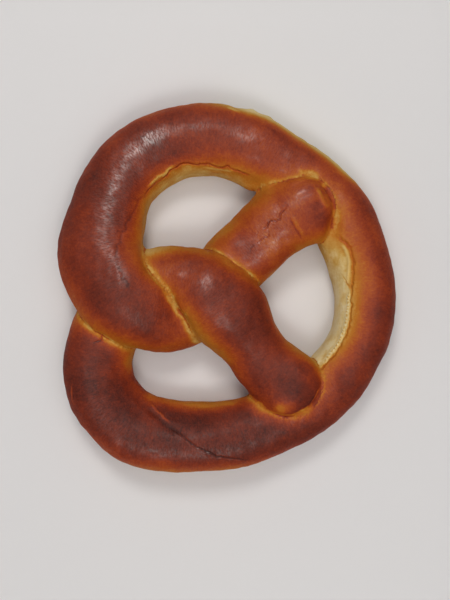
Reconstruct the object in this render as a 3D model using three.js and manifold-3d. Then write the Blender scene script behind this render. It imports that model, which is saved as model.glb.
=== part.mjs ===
// A soft pretzel: one rope of dough, looped, twisted over itself and baked lying flat on a tray.
// Millimetres, +Z up. The origin is on the tray, under the middle of the pretzel. Seen from above
// with +Y up the page, the twist is on the left and both arms run to the right, onto the loop.
import * as THREE from "three";
import { mergeVertices } from "three/addons/utils/BufferGeometryUtils.js";
import Module from "manifold-3d";

// The rope's route, from the end of its upper arm to the end of its lower arm. Each station is
// [x, y, height of the rope's middle, half width, half height].
const ROUTE = [
  // the upper arm: its end lies on the loop, and it runs down into the twist
  [27.9, 28.7, 14.0, 13.7, 10.5],
  [19.1, 24.8, 12.5, 13.8, 10.8],
  [11.4, 17.1, 10.6, 13.1, 11.0],
  // under the lower arm
  [3.0, 9.1, 9.0, 13.3, 11.0],
  [-5.3, -1.5, 8.2, 12.9, 10.8],
  [-15.6, -9.9, 9.5, 13.3, 10.8],
  // the turn, up and over the rope's other half
  [-26.8, -9.7, 15.0, 15.0, 11.6],
  [-39.9, -3.4, 16.2, 15.8, 12.0],
  [-47.2, 10.1, 12.5, 16.7, 12.6],
  // the upper lobe of the loop, thickest on the left
  [-46.6, 23.3, 10.0, 15.6, 13.0],
  [-41.3, 38.6, 9.3, 14.1, 12.6],
  [-29.3, 50.4, 9.0, 14.3, 12.3],
  [-12.9, 55.5, 9.0, 14.3, 12.3],
  [4.6, 54.0, 9.0, 14.2, 12.0],
  // past the end of the upper arm, and the right side
  [21.7, 46.0, 8.6, 12.9, 11.4],
  [36.5, 35.7, 8.3, 12.0, 11.0],
  [45.5, 21.8, 8.8, 12.5, 11.5],
  [52.1, 0.8, 9.2, 11.8, 12.2],
  [50.4, -18.8, 9.0, 11.5, 11.8],
  // past the end of the lower arm, and the bottom
  [39.7, -35.3, 8.6, 12.2, 11.2],
  [25.5, -47.5, 8.6, 12.5, 11.2],
  [5.3, -54.7, 9.0, 12.7, 12.0],
  [-14.1, -56.8, 9.0, 13.2, 12.3],
  // the lower lobe
  [-33.7, -53.2, 9.0, 13.6, 12.3],
  [-44.7, -43.5, 9.0, 13.1, 12.2],
  [-49.0, -31.2, 9.0, 13.3, 12.0],
  // under the turn
  [-46.7, -17.9, 8.4, 13.3, 11.2],
  [-39.9, -6.1, 8.2, 12.9, 10.6],
  [-29.6, 1.1, 10.6, 12.9, 10.8],
  // the lower arm, up and over the upper arm and down onto the loop
  [-18.6, 2.7, 14.0, 13.2, 11.2],
  [-7.6, -1.0, 17.6, 13.6, 11.6],
  [1.9, -11.4, 16.2, 15.4, 11.8],
  [9.3, -21.7, 12.8, 12.2, 11.4],
  [13.7, -28.5, 12.4, 12.0, 11.0],
  [22.0, -35.7, 14.6, 13.3, 10.6],
];

// The rope is swept in three stretches between these stations. It lies on itself only where one
// stretch meets another, so none of them crosses itself.
const STRETCHES = [
  [0, 11],
  [11, 23],
  [23, ROUTE.length - 1],
];

const SECTION_SIDES = 26; // corners round the rope
const SECTION_FULLNESS = 2.2; // 2 is an ellipse, and more is squarer
const STEPS_PER_STATION = 4;
const CURVE_TENSION = 0.5; // of the smooth curves through the stations

const END_STEPS = 5; // steps along each rounded end
const END_FLAT = 0.5; // of a step, from the last ring to where the end would close in a point
// How far an end reaches past its station, in half widths, and how blunt it is: 2 is round.
const UPPER_END = { reach: 0.85, fullness: 2.9 };
const LOWER_END = { reach: 1.0, fullness: 2.3 };

// Where the crust has split open. Each split runs between two places on the rope, given as
// [station, degrees round the section], with 0 degrees on the right of the route and 90 on top.
// bow is how many degrees it bends away from the straight line in its middle.
const SPLITS = [
  { from: [2.48, 97], to: [0.55, 81], bow: -5, width: 1.8, depth: 1.0 }, // along the upper arm
  { from: [22.95, 38], to: [21.35, 122], bow: 0, width: 2.0, depth: 1.1 }, // across the bottom
  { from: [10.0, 42], to: [13.9, 40], bow: 5, width: 1.6, depth: 0.9 }, // inside the upper lobe
  { from: [15.7, 77], to: [18.8, 60], bow: -16, width: 3.2, depth: 1.4 }, // inside the right side
];
const SPLIT_STEP = 2.5; // length of one step along a split
const SPLIT_FEWEST_STEPS = 4;
const SPLIT_TIP = 0.08; // share of its width and depth that a split keeps at its two ends
const SPLIT_SAMPLES = 40; // points that a split's length is measured over
const SPLIT_REACH = 0.01; // share of a split's length, to each side, that gives its direction
const SPLIT_CLEARANCE = 1.5; // how far a split's cutter stands out of the crust

const MERGE_DISTANCE = 1e-4; // corners nearer to each other than this are one

const TRAY = { size: 300, thickness: 40 };

const crust = new THREE.MeshStandardMaterial({
  color: 0x8a3d22,
  roughness: 0.5,
  metalness: 0,
});

const centres = new THREE.CatmullRomCurve3(
  ROUTE.map(([x, y, z]) => new THREE.Vector3(x, y, z)),
  false,
  "catmullrom",
  CURVE_TENSION,
);
const sizes = new THREE.CatmullRomCurve3(
  ROUTE.map(([, , , halfWidth, halfHeight]) => new THREE.Vector3(halfWidth, halfHeight, 0)),
  false,
  "catmullrom",
  CURVE_TENSION,
);

// The rope at a station, which need not be a whole number: its middle, its level direction of
// travel, the level direction to its right, and its half width and half height.
function ropeAt(station) {
  const t = THREE.MathUtils.clamp(station / (ROUTE.length - 1), 0, 1);
  const along = centres.getTangent(t).setZ(0).normalize();
  const size = sizes.getPoint(t);
  return {
    centre: centres.getPoint(t),
    along,
    right: new THREE.Vector3(along.y, -along.x, 0),
    halfWidth: size.x,
    halfHeight: size.y,
  };
}

// A number raised to a power below its sign.
function signedPower(value, power) {
  return Math.sign(value) * Math.abs(value) ** power;
}

// The point at an angle round the rope's section, a superellipse that stands upright.
function pointOnRope(rope, angle) {
  const power = 2 / SECTION_FULLNESS;
  return rope.centre
    .clone()
    .addScaledVector(rope.right, rope.halfWidth * signedPower(Math.cos(angle), power))
    .setZ(rope.centre.z + rope.halfHeight * signedPower(Math.sin(angle), power));
}

function sectionRing(rope) {
  return Array.from({ length: SECTION_SIDES }, (_, side) =>
    pointOnRope(rope, (2 * Math.PI * side) / SECTION_SIDES),
  );
}

// The sections of a rounded end, from its widest to its narrowest. direction is 1 where the end
// lies ahead along the route, and -1 where it lies behind.
function endRings(rope, direction, { reach, fullness }) {
  return Array.from({ length: END_STEPS }, (_, step) => {
    const part = Math.sin((Math.PI / 2) * ((step + 1) / (END_STEPS + END_FLAT)));
    const shrink = (1 - part ** fullness) ** (1 / fullness);
    return sectionRing({
      ...rope,
      centre: rope.centre.clone().addScaledVector(rope.along, direction * reach * rope.halfWidth * part),
      halfWidth: rope.halfWidth * shrink,
      halfHeight: rope.halfHeight * shrink,
    });
  });
}

// A closed tube through rings of points, each end shut by a fan to its middle.
function tubeThrough(rings) {
  const sides = rings[0].length;
  const corners = rings.flat();
  const triangles = [];
  for (let ring = 0; ring + 1 < rings.length; ring++) {
    for (let side = 0; side < sides; side++) {
      const here = ring * sides + side;
      const beside = ring * sides + ((side + 1) % sides);
      triangles.push(here, beside, here + sides, beside, beside + sides, here + sides);
    }
  }
  const last = (rings.length - 1) * sides;
  for (const [first, flipped] of [[0, true], [last, false]]) {
    const middle = new THREE.Vector3();
    for (let side = 0; side < sides; side++) middle.add(corners[first + side]);
    const centre = corners.push(middle.divideScalar(sides)) - 1;
    for (let side = 0; side < sides; side++) {
      const a = first + side;
      const b = first + ((side + 1) % sides);
      triangles.push(...(flipped ? [b, a, centre] : [a, b, centre]));
    }
  }
  const geometry = new THREE.BufferGeometry().setFromPoints(corners);
  geometry.setIndex(triangles);
  return geometry;
}

// One stretch of the rope between two stations, rounded where it is an end of the rope.
function ropeStretch(from, to) {
  const steps = Math.round((to - from) * STEPS_PER_STATION);
  const rings = Array.from({ length: steps + 1 }, (_, step) =>
    sectionRing(ropeAt(from + ((to - from) * step) / steps)),
  );
  if (from === 0) rings.unshift(...endRings(ropeAt(from), -1, UPPER_END).reverse());
  if (to === ROUTE.length - 1) rings.push(...endRings(ropeAt(to), 1, LOWER_END));
  return tubeThrough(rings);
}

// A split's cutter: a long wedge that follows the crust, deepest in its middle and pointed at
// both ends.
function splitCutter({ from, to, bow, width, depth }) {
  const placeAt = (t) => {
    const degrees = THREE.MathUtils.lerp(from[1], to[1], t) + bow * Math.sin(Math.PI * t);
    const rope = ropeAt(THREE.MathUtils.lerp(from[0], to[0], t));
    return { rope, angle: THREE.MathUtils.degToRad(degrees) };
  };
  const onCrust = (t) => {
    const { rope, angle } = placeAt(t);
    return pointOnRope(rope, angle);
  };
  const outwardAt = (t) => {
    const { rope, angle } = placeAt(t);
    const level = Math.cos(angle) / rope.halfWidth;
    return rope.right.clone().multiplyScalar(level).setZ(Math.sin(angle) / rope.halfHeight).normalize();
  };
  const samples = Array.from({ length: SPLIT_SAMPLES + 1 }, (_, k) => onCrust(k / SPLIT_SAMPLES));
  const length = new THREE.CatmullRomCurve3(samples).getLength();
  const steps = Math.max(SPLIT_FEWEST_STEPS, Math.round(length / SPLIT_STEP));
  const rings = Array.from({ length: steps + 1 }, (_, step) => {
    const t = step / steps;
    const taper = SPLIT_TIP + (1 - SPLIT_TIP) * Math.sqrt(Math.sin(Math.PI * t));
    const point = onCrust(t);
    const outward = outwardAt(t);
    const before = onCrust(Math.max(t - SPLIT_REACH, 0));
    const ahead = onCrust(Math.min(t + SPLIT_REACH, 1)).sub(before).normalize();
    const across = new THREE.Vector3().crossVectors(outward, ahead).normalize();
    const spread = (width / 2) * taper * (1 + SPLIT_CLEARANCE / (depth * taper));
    const mouth = point.clone().addScaledVector(outward, SPLIT_CLEARANCE);
    return [
      mouth.clone().addScaledVector(across, spread),
      mouth.clone().addScaledVector(across, -spread),
      point.clone().addScaledVector(outward, -depth * taper),
    ];
  });
  return tubeThrough(rings);
}

const wasm = await Module();
wasm.setup();

// A closed geometry as a solid that can be joined and cut, turned right side out if need be.
function solidOf(geometry) {
  const bare = geometry.clone();
  bare.deleteAttribute("normal");
  bare.deleteAttribute("uv");
  const merged = mergeVertices(bare, MERGE_DISTANCE);
  const build = (triVerts) =>
    new wasm.Manifold(
      new wasm.Mesh({ numProp: 3, vertProperties: merged.attributes.position.array, triVerts }),
    );
  const triangles = new Uint32Array(merged.index.array);
  const solid = build(triangles);
  return solid.volume() > 0 ? solid : build(triangles.reverse());
}

function geometryOf(solid) {
  const { numProp, vertProperties, triVerts } = solid.getMesh();
  const geometry = new THREE.BufferGeometry();
  geometry.setAttribute("position", new THREE.BufferAttribute(vertProperties, numProp));
  geometry.setIndex(new THREE.BufferAttribute(triVerts, 1));
  geometry.computeVertexNormals();
  return geometry;
}

function trayBelow() {
  const geometry = new THREE.BoxGeometry(TRAY.size, TRAY.size, TRAY.thickness);
  return geometry.translate(0, 0, -TRAY.thickness / 2);
}

function makePretzel() {
  const rope = STRETCHES.map(([from, to]) => solidOf(ropeStretch(from, to))).reduce((a, b) => a.add(b));
  const resting = rope.subtract(solidOf(trayBelow()));
  const baked = SPLITS.reduce((solid, split) => solid.subtract(solidOf(splitCutter(split))), resting);
  const mesh = new THREE.Mesh(geometryOf(baked), crust);
  mesh.name = "pretzel";
  return mesh;
}

const pretzel = new THREE.Group();
pretzel.add(makePretzel());

export default pretzel;
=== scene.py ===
# A soft pretzel, baked brown and glossy, on a pale floor under soft studio light.
import bpy
import numpy as np
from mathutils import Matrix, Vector


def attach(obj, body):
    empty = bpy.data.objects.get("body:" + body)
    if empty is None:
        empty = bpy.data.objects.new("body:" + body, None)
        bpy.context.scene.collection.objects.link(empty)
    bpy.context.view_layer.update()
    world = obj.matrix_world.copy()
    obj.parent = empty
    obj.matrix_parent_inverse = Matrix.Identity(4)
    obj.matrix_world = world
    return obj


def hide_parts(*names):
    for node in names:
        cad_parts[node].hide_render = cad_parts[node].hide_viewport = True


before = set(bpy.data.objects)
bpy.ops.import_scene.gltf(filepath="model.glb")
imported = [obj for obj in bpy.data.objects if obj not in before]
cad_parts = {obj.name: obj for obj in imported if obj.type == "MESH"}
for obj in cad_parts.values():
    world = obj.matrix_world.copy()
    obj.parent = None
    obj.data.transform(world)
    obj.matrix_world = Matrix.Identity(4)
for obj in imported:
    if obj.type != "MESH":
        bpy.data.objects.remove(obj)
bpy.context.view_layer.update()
mm = 0.001  # the frame is in metres
print("frame loaded")

# Lengths in this dictionary are millimetres, and angles are degrees round the rope: 0 on the right
# of the route, 90 on top, 180 on the left. A place on the crust is (station, angle). A colour value
# runs from 0, pale crumb, to 1, the darkest brown.
pretzel = {
    # the rope's route over itself, from the end of its upper arm to the end of its lower arm:
    # x, y, height of the rope's middle, half width, half height
    "route": [
        (27.9, 28.7, 14.0, 13.7, 10.5), (19.1, 24.8, 12.5, 13.8, 10.8),
        (11.4, 17.1, 10.6, 13.1, 11.0), (3.0, 9.1, 9.0, 13.3, 11.0),
        (-5.3, -1.5, 8.2, 12.9, 10.8), (-15.6, -9.9, 9.5, 13.3, 10.8),
        (-26.8, -9.7, 15.0, 15.0, 11.6), (-39.9, -3.4, 16.2, 15.8, 12.0),
        (-47.2, 10.1, 12.5, 16.7, 12.6), (-46.6, 23.3, 10.0, 15.6, 13.0),
        (-41.3, 38.6, 9.3, 14.1, 12.6), (-29.3, 50.4, 9.0, 14.3, 12.3),
        (-12.9, 55.5, 9.0, 14.3, 12.3), (4.6, 54.0, 9.0, 14.2, 12.0),
        (21.7, 46.0, 8.6, 12.9, 11.4), (36.5, 35.7, 8.3, 12.0, 11.0),
        (45.5, 21.8, 8.8, 12.5, 11.5), (52.1, 0.8, 9.2, 11.8, 12.2),
        (50.4, -18.8, 9.0, 11.5, 11.8), (39.7, -35.3, 8.6, 12.2, 11.2),
        (25.5, -47.5, 8.6, 12.5, 11.2), (5.3, -54.7, 9.0, 12.7, 12.0),
        (-14.1, -56.8, 9.0, 13.2, 12.3), (-33.7, -53.2, 9.0, 13.6, 12.3),
        (-44.7, -43.5, 9.0, 13.1, 12.2), (-49.0, -31.2, 9.0, 13.3, 12.0),
        (-46.7, -17.9, 8.4, 13.3, 11.2), (-39.9, -6.1, 8.2, 12.9, 10.6),
        (-29.6, 1.1, 10.6, 12.9, 10.8), (-18.6, 2.7, 14.0, 13.2, 11.2),
        (-7.6, -1.0, 17.6, 13.6, 11.6), (1.9, -11.4, 16.2, 15.4, 11.8),
        (9.3, -21.7, 12.8, 12.2, 11.4), (13.7, -28.5, 12.4, 12.0, 11.0),
        (22.0, -35.7, 14.6, 13.3, 10.6),
    ],
    "fullness": 2.2,  # of the rope's section: 2 is an ellipse, and more is squarer
    "upperEnd": {"reach": 0.85, "fullness": 2.9},  # reach past its station in half widths
    "lowerEnd": {"reach": 1.0, "fullness": 2.3},
    "sides": 96,  # points round the rope
    "stepsPerStation": 16,
    "endSteps": 14,
    "trayEdge": 0.9,  # how softly the underside turns up
    "voxel": 0.94,
    "smoothRounds": 2,
    "lineReach": 6.0,  # within which a line is felt
    "valleyGap": 0.55,  # from a strand to the bottom of a fused valley
    "fineWithin": [2.2, 1.1],  # of a line, where faces are quartered, and again
    "seamFine": {"within": 1.6, "above": 5.0},  # and in seams: gap and height
    "shrink": 0.24,  # how far the skin sits inside the dough's outline
    "relief": {"from": 0.2, "full": 3.5},  # heights over which it sets in
    "typicalRadius": 12.5,  # of the rope, for patterns round it
    # Smooth random fields: layers of wavelength, height and seed. Each line draws the last three
    # anew, with its own seed added.
    "swells": [(26, 0.24, 11), (9, 0.07, 12), (4, 0.045, 13)],
    "seamWander": [(6, 0.2, 21), (2, 0.06, 24)],
    "seamShade": [(5, 0.03, 25), (1.4, 0.02, 26)],
    "crustShade": [(14, 0.03, 22)],
    "undersideShade": [(10, 0.06, 23)],
    "lineWobble": [(3.6, 0.55, 0), (1.5, 0.4, 1), (0.7, 0.25, 2)],
    "crumbShade": [(5, 0.02, 7), (1.5, 0.015, 8)],
    "pleatShift": [(3, 1.2, 0)],
    "firstLineSeed": 40,
    # how far the crest leans to the right of the route: station, mm
    "lean": [(0, -0.6), (1, -0.7), (2.5, -0.6), (4, -0.3), (5, 0), (7, 0.8), (8, 1.0), (9, 1.1),
             (9.7, 0.5), (10.4, -0.2), (11.2, -0.4), (12, 0), (20, -0.4), (21.8, -1.9),
             (23.2, -2.0), (24.2, -1.3), (25.5, -0.2), (28, 0), (28.7, 0.7), (29.5, 1.2),
             (30.3, 0.6), (31, 0), (34, 0)],
    "leanFade": {"sides": 20, "seams": 5},  # degrees from each side, and mm from another strand
    "crustShaded": (0.2, 0.6),  # colour values over which the crust's shade sets in
    # the underside's colour value, the heights over which it ends, and how far its skin faces down
    "underside": {"value": 0.5, "heights": (0.15, 1.2), "facing": (0.5, 0.9)},
    "darkest": 1.05,  # the highest colour value
    # how the oven coloured the rope: station, colour value of its top, then for its right side and
    # for its left the value that it pales to, and the angles where it is fully brown and fully pale
    "baking": [
        (-0.6, 0.57, 0.36, 60, 8, 0.34, 116, 166), (0.0, 0.57, 0.36, 62, 8, 0.34, 120, 166),
        (1.0, 0.47, 0.33, 72, 10, 0.3, 134, 170), (1.7, 0.55, 0.36, 68, 8, 0.28, 144, 174),
        (2.6, 0.61, 0.3, 76, 18, 0.32, 134, 170), (4.9, 0.58, 0.3, 76, 18, 0.42, 114, 164),
        (5.3, 0.63, 0.38, 72, 10, 0.54, 126, 160), (6.3, 0.77, 0.3, 72, 14, 0.34, 112, 170),
        (7.3, 0.79, 0.25, 74, 6, 0.44, 116, 168), (8.5, 0.76, 0.24, 80, 4, 0.76, 120, 160),
        (9.6, 0.81, 0.22, 78, 0, 0.77, 120, 160), (10.8, 0.81, 0.24, 76, 24, 0.56, 118, 170),
        (12.0, 0.75, 0.28, 80, 30, 0.38, 122, 174), (13.0, 0.68, 0.28, 82, 32, 0.06, 120, 156),
        (14.0, 0.7, 0.34, 102, 45, 0.15, 122, 161), (15.0, 0.6, 0.3, 124, 60, 0.09, 122, 158),
        (15.9, 0.7, 0.27, 122, 58, 0.48, 145, 185), (16.7, 0.7, 0.24, 124, 58, 0.58, 140, 180),
        (17.5, 0.76, 0.24, 112, 56, 0.68, 140, 180), (18.3, 0.78, 0.24, 108, 56, 0.66, 140, 180),
        (19.3, 0.79, 0.34, 106, 44, 0.64, 140, 175), (20.3, 0.84, 0.46, 72, 6, 0.62, 130, 175),
        (21.3, 0.86, 0.3, 54, 4, 0.34, 110, 160), (22.0, 0.86, 0.32, 48, 6, 0.33, 108, 161),
        (22.4, 0.87, 0.36, 46, 6, 0.32, 106, 162), (22.8, 0.87, 0.36, 46, 6, 0.34, 106, 166),
        (23.1, 0.87, 0.36, 50, 4, 0.4, 108, 170), (23.5, 0.88, 0.58, 50, -2, 0.48, 108, 172),
        (24.3, 0.88, 0.66, 62, 0, 0.74, 115, 160), (24.9, 0.85, 0.44, 74, 4, 0.78, 120, 170),
        (25.3, 0.85, 0.34, 84, 8, 0.79, 120, 170), (26.5, 0.6, 0.36, 60, 5, 0.46, 100, 150),
        (28.3, 0.52, 0.34, 90, 30, 0.14, 116, 154), (29.1, 0.62, 0.42, 94, 36, 0.34, 124, 174),
        (30.0, 0.74, 0.3, 90, 20, 0.38, 114, 172), (31.0, 0.8, 0.28, 96, 16, 0.48, 130, 174),
        (31.8, 0.84, 0.36, 104, 18, 0.34, 122, 172), (32.6, 0.76, 0.55, 100, 20, 0.36, 126, 174),
        (33.5, 0.79, 0.7, 60, 5, 0.32, 110, 170), (34.4, 0.81, 0.58, 68, 12, 0.24, 130, 168),
    ],
    # The seams where strands meet: station, the colour value in the seam, how far it reaches and
    # how far the orange beside it reaches, in mm, then the same for the left side where it differs
    "seams": [
        (-1.0, 0.36, 0.2, 1.4), (1.2, 0.36, 0.2, 1.4), (2.2, 0.27, 1.1, 4.5), (4.4, 0.27, 1.1, 4.5),
        (5.0, 0.25, 1.5, 4.5, 0.22, 2.0, 5.0), (5.6, 0.26, 1.3, 4.0),
        (6.0, 0.29, 1.1, 4.5, 0.28, 1.5, 4.0), (7.8, 0.28, 1.2, 4.0, 0.28, 1.3, 3.5),
        (13.4, 0.25, 1.2, 4.0), (14.6, 0.26, 1.1, 5.0), (15.3, 0.26, 1.3, 7.5),
        (15.8, 0.26, 1.2, 6.0), (18.6, 0.27, 1.3, 5.5), (19.3, 0.31, 1.3, 7.5),
        (20.0, 0.38, 0.6, 3.5), (20.6, 0.3, 1.4, 6.5), (21.2, 0.32, 1.4, 6.5),
        (25.2, 0.28, 1.5, 6.0), (26.8, 0.28, 1.5, 6.0), (28.4, 0.25, 1.7, 5.0),
        (28.8, 0.24, 1.4, 5.0, 0.5, 0.2, 1.5), (30.0, 0.26, 1.3, 4.5, 0.52, 0.2, 1.5),
        (31.5, 0.3, 1.0, 3.5, 0.52, 0.2, 1.5), (32.5, 0.45, 0.3, 1.5, 0.48, 0.3, 1.5),
        (33.4, 0.4, 0.8, 1.2, 0.5, 0.2, 1.0), (35.0, 0.36, 1.0, 1.2, 0.5, 0.2, 1.0),
    ],
    "seamOrange": {"value": 0.42, "power": 1.5},  # its colour value, and how it falls off
    "seamSides": (75, 105),  # angles between the right side and the left
    "goldEnd": (0.3, 1.3),  # in widths of the gold
    "seamGroove": {"depth": 0.3, "width": 0.5},
    # how glossy the rope is: station, share, the angle where it is glossiest and how wide round it
    "gloss": [
        (-1.0, 0.25, 64, 12), (-0.1, 0.38, 64, 12), (0.2, 0.1, 76, 16), (0.6, 0.15, 90, 18),
        (1.2, 0.9, 93, 23), (2.2, 1.0, 94, 23), (2.9, 0.4, 92, 20), (5.0, 0.15, 100, 30),
        (6.2, 0.12, 105, 24), (7.4, 0.3, 78, 20), (8.0, 0.28, 80, 20), (8.4, 0.2, 80, 22),
        (9.0, 0.66, 82, 24), (9.6, 0.95, 92, 26), (10.6, 1.0, 98, 26), (11.1, 0.9, 100, 24),
        (11.6, 0.18, 100, 18), (12.8, 0.15, 98, 18), (13.1, 0.35, 98, 20), (13.4, 0.6, 98, 22),
        (13.7, 0.25, 98, 20), (14.1, 0.6, 98, 20), (14.5, 0.15, 98, 20), (18.3, 0.1, 88, 24),
        (20.0, 0.15, 95, 24), (21.5, 0.34, 110, 20), (23.3, 0.46, 114, 20), (24.5, 0.16, 104, 22),
        (26.0, 0.12, 90, 30), (28.3, 0.1, 94, 30), (28.8, 0.6, 94, 30), (29.6, 0.55, 92, 30),
        (30.2, 0.25, 86, 28), (30.9, 0.4, 80, 26), (31.4, 0.1, 84, 24), (33.0, 0.06, 85, 26),
        (35.0, 0.06, 85, 26),
    ],
    # walls of bare crumb: stations over which they end, mm for each degree, mm over which they
    # begin, angles over which they end below, how much browner they are at the line, over how many
    # mm, and the mm over which their step levels out
    "walls": {"endFade": 0.25, "mmPerDegree": 0.2, "edge": (-0.15, 0.3), "lowest": (-100, -80),
              "rim": 0.24, "rimWidth": 1.8, "stepWidth": 3.0},
    "lips": {"at": 2.0, "width": 1.2},  # beside a split, in widths of its groove
    # Lines where the crust split, creased or stayed pale, in mm: width and depth of the groove (a
    # ridge where negative), height of the lips, wobble, ink for how much darker it is, as painted
    # shade down the crack or crease, and soft for how widely, the colour value it pales to and how
    # widely, and the pitch of its pleats. On the right of a line with a wall, given as stations and
    # colour values, the crumb is bare and a step lower.
    "lines": {
        "armSplit": {"width": 0.34, "depth": 0.34, "lip": 0.12, "wobble": 0.18, "paintedShade": 0.44,
            "places": [(0.53, 81), (0.68, 83), (0.8, 84), (0.89, 86), (0.97, 90), (1.09, 90),
            (1.2, 88), (1.27, 85), (1.36, 85), (1.47, 87), (1.56, 86), (1.65, 86), (1.71, 88)]},
        "armSplitMiddle": {"width": 0.32, "depth": 0.3, "lip": 0.08, "wobble": 0.2, "paintedShade": 0.48,
            "places": [(1.55, 92), (1.7, 95), (1.86, 93), (2.02, 92), (2.16, 93)]},
        "armSplitBeside": {"width": 0.3, "depth": 0.2, "lip": 0.06, "wobble": 0.2, "paintedShade": 0.3,
            "places": [(1.73, 81), (1.84, 83), (1.91, 84), (1.99, 87)]},
        "armSplitTail": {"width": 0.34, "depth": 0.18, "lip": 0.06, "wobble": 0.2, "paintedShade": 0.38,
            "places": [(2.12, 91), (2.25, 91), (2.36, 92), (2.5, 96)]},
        "armFold": {"width": 0.7, "depth": -0.14, "wobble": 0.1, "pale": (0.42, 0.7),
            "places": [(0.52, 92), (0.48, 99), (0.43, 107), (0.38, 117), (0.34, 129), (0.3, 136)]},
        "armTick": {"width": 0.4, "depth": 0.12, "paintedShade": 0.3, "soft": 1.6, "places": [(0.8, 112),
            (0.82, 118), (0.89, 126)]},
        "endCurl": {"width": 0.9, "depth": -0.32, "wobble": 0.15, "pale": (0.28, 0.9),
            "places": [(-0.83, 64), (-0.85, 73), (-0.85, 81), (-0.85, 88), (-0.85, 96),
            (-0.84, 108)]},
        "bottomGroove": {"width": 1.8, "depth": 0.34, "wobble": 0.1, "paintedShade": 0.14, "soft": 2.4,
            "places": [(22.96, 40), (22.78, 50), (22.6, 60), (22.4, 71), (22.24, 80), (22.08, 89)]},
        "bottomGrooveLip": {"width": 0.6, "depth": -0.12, "wobble": 0.15, "pale": (0.56, 0.5),
            "places": [(23.02, 24), (22.84, 32), (22.68, 43), (22.52, 54), (22.38, 65)]},
        "lowerHoleRim": {"width": 1.2, "depth": -0.06, "wobble": 0.3, "pale": (0.31, 1.0),
            "places": [(22.2, 12), (21.9, 11), (21.65, 15), (21.42, 15), (21.12, 19), (20.92, 23)]},
        "bottomSplit": {"width": 0.34, "depth": 0.26, "lip": 0.08, "wobble": 0.2, "paintedShade": 0.36,
            "places": [(22.36, 73), (22.18, 82), (22.04, 89), (21.92, 95), (21.8, 100),
            (21.66, 106), (21.54, 113), (21.42, 118), (21.26, 123), (21.08, 132), (20.95, 139)]},
        "leftCrease": {"width": 0.5, "depth": 0.1, "wobble": 0.3, "paintedShade": 0.26, "soft": 1.5,
            "places": [(10.16, 35), (10.02, 41), (9.76, 44), (9.5, 48), (9.32, 52), (9.12, 56),
            (8.8, 60), (8.5, 63), (8.24, 66), (7.94, 69), (7.72, 70)]},
        "leftSplit": {"width": 0.5, "depth": 0.07, "wobble": 0.4, "paintedShade": 0.24, "soft": 1.3,
            "places": [(7.86, 69), (7.7, 70), (7.56, 72), (7.42, 70), (7.26, 71), (7.08, 71),
            (6.87, 73), (6.75, 76)]},
        "upperHole": {"width": 0.34, "depth": 0.24, "lip": 0.08, "wobble": 0.25, "paintedShade": 0.34,
            "soft": 1.3, "wall": [(10.1, 0.24), (10.8, 0.18), (12.0, 0.17), (13.5, 0.23)],
            "step": 0.25, "places": [(10.16, 36), (10.46, 38), (10.72, 36), (11.0, 37), (11.18, 42),
            (11.4, 47), (11.7, 51), (11.86, 48), (12.02, 45), (12.28, 47), (12.46, 44), (12.68, 41),
            (12.88, 46), (13.08, 43), (13.3, 43), (13.5, 42)]},
        "upperHolePeel": {"width": 0.7, "depth": -0.4, "wobble": 0.3, "pale": (0.18, 0.6),
            "places": [(10.4, 44), (10.6, 45), (10.82, 45), (11.0, 45), (11.18, 47), (11.32, 50),
            (11.48, 52)]},
        "upperHoleLip": {"width": 0.6, "depth": -0.12, "wobble": 0.1, "pale": (0.19, 0.5),
            "places": [(12.2, 38), (12.38, 36), (12.56, 35), (12.72, 35), (12.9, 37), (13.08, 37)]},
        "rightEdge": {"width": 0.34, "depth": 0.3, "lip": 0.12, "wobble": 0.4, "paintedShade": 0.14,
            "soft": 2.0, "wall": [(16.0, 0.2), (16.7, 0.08), (17.1, 0.02), (19.3, 0.02)],
            "step": 0.4, "places": [(16.02, 66), (16.14, 72), (16.22, 75), (16.32, 78), (16.42, 78),
            (16.56, 75), (16.7, 71), (16.84, 65), (16.98, 59), (17.18, 56), (17.38, 56), (17.6, 57),
            (17.84, 58), (18.06, 58), (18.26, 58), (18.46, 58), (18.66, 58), (18.9, 59),
            (19.2, 60)]},
        "rightCrack": {"width": 0.3, "depth": 0.2, "lip": 0.08, "wobble": 0.2, "paintedShade": 0.35,
            "places": [(16.72, 43), (16.8, 46), (16.92, 50), (17.08, 54)]},
        "rightFlap": {"width": 0.7, "depth": -0.4, "pale": (0.12, 0.7), "places": [(16.18, 66),
            (16.28, 69), (16.38, 70), (16.52, 68), (16.64, 63), (16.78, 56), (16.9, 51),
            (17.02, 51)]},
        "rightPleats": {"width": 0.8, "depth": -0.6, "wobble": 0.2, "pleat": 1.3, "paintedShade": 0.32,
            "soft": 1.5, "pale": (0.0, 1.0), "places": [(17.08, 52), (17.24, 50), (17.42, 49),
            (17.6, 49), (17.78, 50), (17.98, 51), (18.18, 51), (18.34, 51), (18.48, 50),
            (18.66, 51), (18.9, 51)]},
        "ringWiggle": {"width": 0.42, "depth": 0.32, "lip": 0.12, "wobble": 0.3, "paintedShade": 0.6,
            "places": [(25.68, 99), (25.76, 94), (25.82, 90), (25.9, 87), (26.0, 88), (26.04, 80)]},
        "scar": {"width": 0.5, "depth": -0.06, "wobble": 0.1, "pale": (0.58, 0.4),
            "places": [(24.8, 129), (24.66, 132), (24.52, 136), (24.36, 141)]},
        "topFlake": {"width": 0.6, "depth": -0.1, "pale": (0.14, 0.9), "places": [(12.6, 147),
            (12.72, 145), (12.8, 141), (12.9, 141)]},
        "armFurrow": {"width": 0.5, "depth": 0.16, "wobble": 0.1, "paintedShade": 0.3, "soft": 1.5,
            "places": [(0.66, 92), (0.62, 100), (0.59, 110), (0.53, 118), (0.47, 129),
            (0.44, 136)]},
    },
    # spots: station, angle, radius and height in mm, then a stain's colour value and share; on
    # end B's dimple that colour is a painted highlight and painted shade
    "spots": [
        (12.78, 172, 1.8, -1.6, 0.3, 0.7), (13.05, 168, 1.6, 0.7, 0.05, 0.85),
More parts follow.
